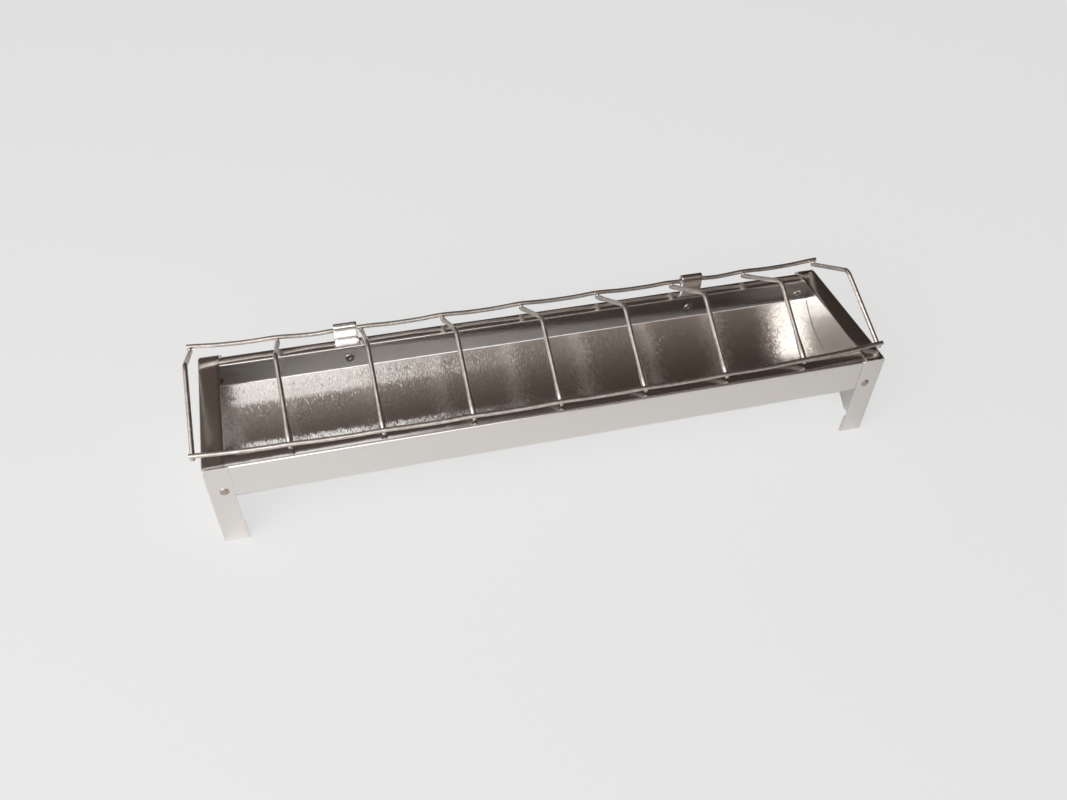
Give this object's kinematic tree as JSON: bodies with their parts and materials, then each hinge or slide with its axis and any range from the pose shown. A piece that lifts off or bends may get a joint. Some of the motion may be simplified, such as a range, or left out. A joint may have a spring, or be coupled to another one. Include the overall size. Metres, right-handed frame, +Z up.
{
  "type": "chick feeder trough",
  "caption": "Long galvanised sheet feeding trough on folded end legs, with a tent-shaped wire grill hinged along its back rim so chicks reach the feed without climbing in.",
  "frame": {"origin": "on the ground, in the middle between the four feet", "axes": "+X along the trough to its right end, +Y to the hinge side, +Z up"},
  "size_m": [0.5066, 0.1257, 0.1111],
  "materials": {
    "galvanised_sheet": "bright hot-dip galvanised sheet with spangle",
    "galvanised_strap": "bright galvanised strap",
    "zinc_rivet": "dull zinc",
    "galvanised_wire": "satin galvanised wire"
  },
  "bodies": {
    "trough": {"trough_body": "galvanised_sheet", "left_end_cap": "galvanised_sheet", "right_end_cap": "galvanised_sheet", "front_left_leg_rivet": "zinc_rivet", "front_right_leg_rivet": "zinc_rivet", "back_left_leg_rivet": "zinc_rivet", "back_right_leg_rivet": "zinc_rivet", "left_hinge_clip": "galvanised_strap", "right_hinge_clip": "galvanised_strap", "left_clip_rivet": "zinc_rivet", "right_clip_rivet": "zinc_rivet"},
    "grill": {"front_rail": "galvanised_wire", "rear_rail": "galvanised_wire", "left_end_bar": "galvanised_wire", "cross_wire_1": "galvanised_wire", "cross_wire_2": "galvanised_wire", "cross_wire_3": "galvanised_wire", "cross_wire_4": "galvanised_wire", "cross_wire_5": "galvanised_wire", "cross_wire_6": "galvanised_wire", "cross_wire_7": "galvanised_wire", "right_end_bar": "galvanised_wire"}
  },
  "joints": [
    {"name": "grill_hinge", "type": "hinge", "parent": "trough", "child": "grill", "pos_m": [0, 0.06195, 0.07807], "axis": [-1, 0, 0], "range_deg": [0, 220]}
  ]
}
